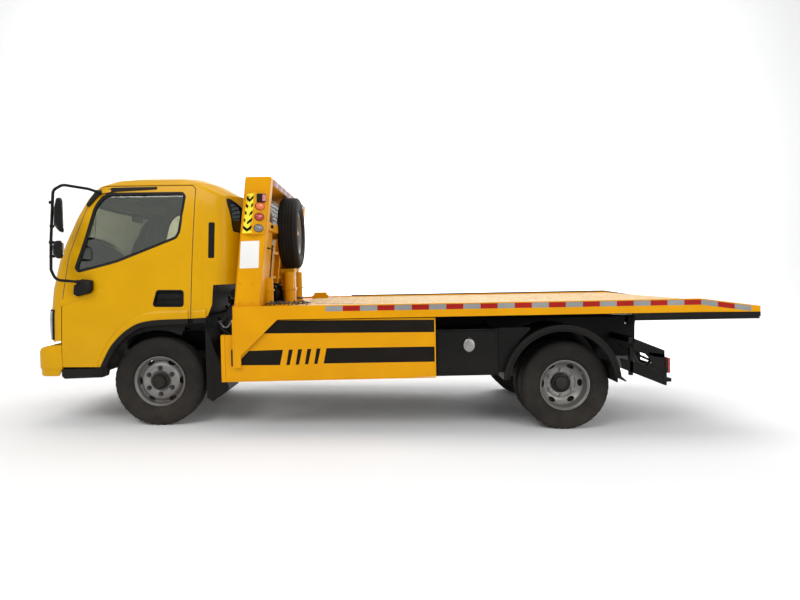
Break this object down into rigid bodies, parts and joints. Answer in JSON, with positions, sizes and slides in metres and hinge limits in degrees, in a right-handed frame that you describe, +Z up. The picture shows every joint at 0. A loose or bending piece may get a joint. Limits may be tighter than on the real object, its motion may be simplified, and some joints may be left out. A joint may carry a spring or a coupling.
{
  "type": "flatbed tow truck",
  "caption": "Cab-over flatbed tow truck with a tilting cab, opening doors, steered front wheels and a deck that slides and tilts rearwards.",
  "frame": {"origin": "on the ground under the middle of the length and width", "axes": "+X rearwards, +Y to the truck's right, +Z up; the body stands 1.45 degrees nose down on level tyres"},
  "size_m": [6.063, 2.4068, 2.1471],
  "materials": {
    "body_yellow": "gloss yellow paint",
    "chassis_black": "satin black paint",
    "rubber_tyre": "matt black rubber",
    "wheel_silver": "silver grey paint",
    "cast_grey": "bare castings",
    "window_glass": "lightly tinted glass",
    "trim_black": "moulded black plastic",
    "lamp_clear": "clear lens",
    "lamp_red": "red lens",
    "seat_cloth": "woven cloth",
    "rod_chrome": "hard chrome"
  },
  "bodies": {
    "chassis": {"ladder_frame": "chassis_black", "engine_block": "cast_grey", "propeller_shaft": "chassis_black", "front_axle_beam": "chassis_black", "rear_axle_housing": "chassis_black", "front_springs": "chassis_black", "rear_springs": "chassis_black", "front_bumper": "body_yellow", "rear_fenders": "trim_black", "front_mudguards": "trim_black", "underrun_beam": "chassis_black", "rear_lamps": "lamp_red", "side_guard_left": "body_yellow", "side_guard_right": "body_yellow", "side_box_left": "chassis_black", "side_box_right": "chassis_black", "cab_step_left": "trim_black", "cab_step_right": "trim_black"},
    "cab": {"cab_shell": "body_yellow", "windscreen": "window_glass", "cab_rear_glass": "window_glass", "headlamps": "lamp_clear", "grille": "trim_black", "seats": "seat_cloth", "dashboard": "trim_black", "steering_wheel": "trim_black"},
    "tilt_frame": {"tilting_frame": "chassis_black", "slide_cylinder_barrel": "chassis_black"},
    "tilt_barrels": {"tilt_cylinder_barrels": "chassis_black"},
    "tilt_rods": {"tilt_cylinder_rods": "rod_chrome"},
    "deck": {"deck": "body_yellow", "headboard": "body_yellow", "headboard_mesh": "trim_black", "spare_tyre": "rubber_tyre", "spare_rim": "wheel_silver", "spare_carrier": "chassis_black", "slide_cylinder_rod": "rod_chrome", "winch": "chassis_black"},
    "door_left": {"door_left": "body_yellow", "door_glass_left": "window_glass", "mirror_left": "trim_black"},
    "knuckle_left": {"knuckle_left": "cast_grey"},
    "front_wheel_left": {"front_tyre_left": "rubber_tyre", "front_rim_left": "wheel_silver"},
    "rear_wheel_left": {"rear_tyre_left": "rubber_tyre", "rear_rim_left": "wheel_silver"},
    "door_right": {"door_right": "body_yellow", "door_glass_right": "window_glass", "mirror_right": "trim_black"},
    "knuckle_right": {"knuckle_right": "cast_grey"},
    "front_wheel_right": {"front_tyre_right": "rubber_tyre", "front_rim_right": "wheel_silver"},
    "rear_wheel_right": {"rear_tyre_right": "rubber_tyre", "rear_rim_right": "wheel_silver"}
  },
  "joints": [
    {"name": "cab_tilt", "type": "hinge", "parent": "chassis", "child": "cab", "pos_m": [-2.90272, 0, 0.73698], "axis": [0, -1, 0], "range_deg": [0, 45]},
    {"name": "door_left_hinge", "type": "hinge", "parent": "cab", "child": "door_left", "pos_m": [-2.77577, -0.93, 0.78021], "axis": [0.0253, 0, -0.9997], "range_deg": [0, 65]},
    {"name": "steer_left", "type": "hinge", "parent": "chassis", "child": "knuckle_left", "pos_m": [-1.98378, -0.68, 0.3775], "axis": [-0.0253, 0, 0.9997], "range_deg": [-35, 35]},
    {"name": "front_wheel_left_spin", "type": "hinge", "parent": "knuckle_left", "child": "front_wheel_left", "pos_m": [-1.98378, -0.7825, 0.3775], "axis": [0, 1, 0], "continuous": true},
    {"name": "rear_wheel_left_spin", "type": "hinge", "parent": "chassis", "child": "rear_wheel_left", "pos_m": [1.47622, -0.8925, 0.3775], "axis": [0, 1, 0], "continuous": true},
    {"name": "door_right_hinge", "type": "hinge", "parent": "cab", "child": "door_right", "pos_m": [-2.77577, 0.93, 0.78021], "axis": [-0.0253, 0, 0.9997], "range_deg": [0, 65]},
    {"name": "steer_right", "type": "hinge", "parent": "chassis", "child": "knuckle_right", "pos_m": [-1.98378, 0.68, 0.3775], "axis": [-0.0253, 0, 0.9997], "range_deg": [-35, 35]},
    {"name": "front_wheel_right_spin", "type": "hinge", "parent": "knuckle_right", "child": "front_wheel_right", "pos_m": [-1.98378, 0.7825, 0.3775], "axis": [0, 1, 0], "continuous": true},
    {"name": "rear_wheel_right_spin", "type": "hinge", "parent": "chassis", "child": "rear_wheel_right", "pos_m": [1.47622, 0.8925, 0.3775], "axis": [0, 1, 0], "continuous": true},
    {"name": "deck_tilt", "type": "hinge", "parent": "chassis", "child": "tilt_frame", "pos_m": [2.24487, 0, 0.89729], "axis": [0, 1, 0], "range_deg": [0, 15]},
    {"name": "deck_slide", "type": "slide", "parent": "tilt_frame", "child": "deck", "axis": [0.9997, 0, 0.0253], "range_m": [0, 2.8]},
    {"name": "tilt_barrel_swing", "type": "hinge", "parent": "chassis", "child": "tilt_barrels", "pos_m": [1.14876, 0, 0.7295], "axis": [0, 1, 0], "range_deg": [0, 30.58]},
    {"name": "tilt_rod_slide", "type": "slide", "parent": "tilt_barrels", "child": "tilt_rods", "axis": [-0.9872, 0, 0.1594], "range_m": [0, 0.15982]}
  ],
  "couplings": [
    {"joint": "steer_right", "follows": "steer_left", "ratio": 1},
    {"joint": "tilt_barrel_swing", "follows": "deck_tilt", "ratio": 2.0387},
    {"joint": "tilt_rod_slide", "follows": "deck_tilt", "m_per_rad": 0.61049}
  ]
}
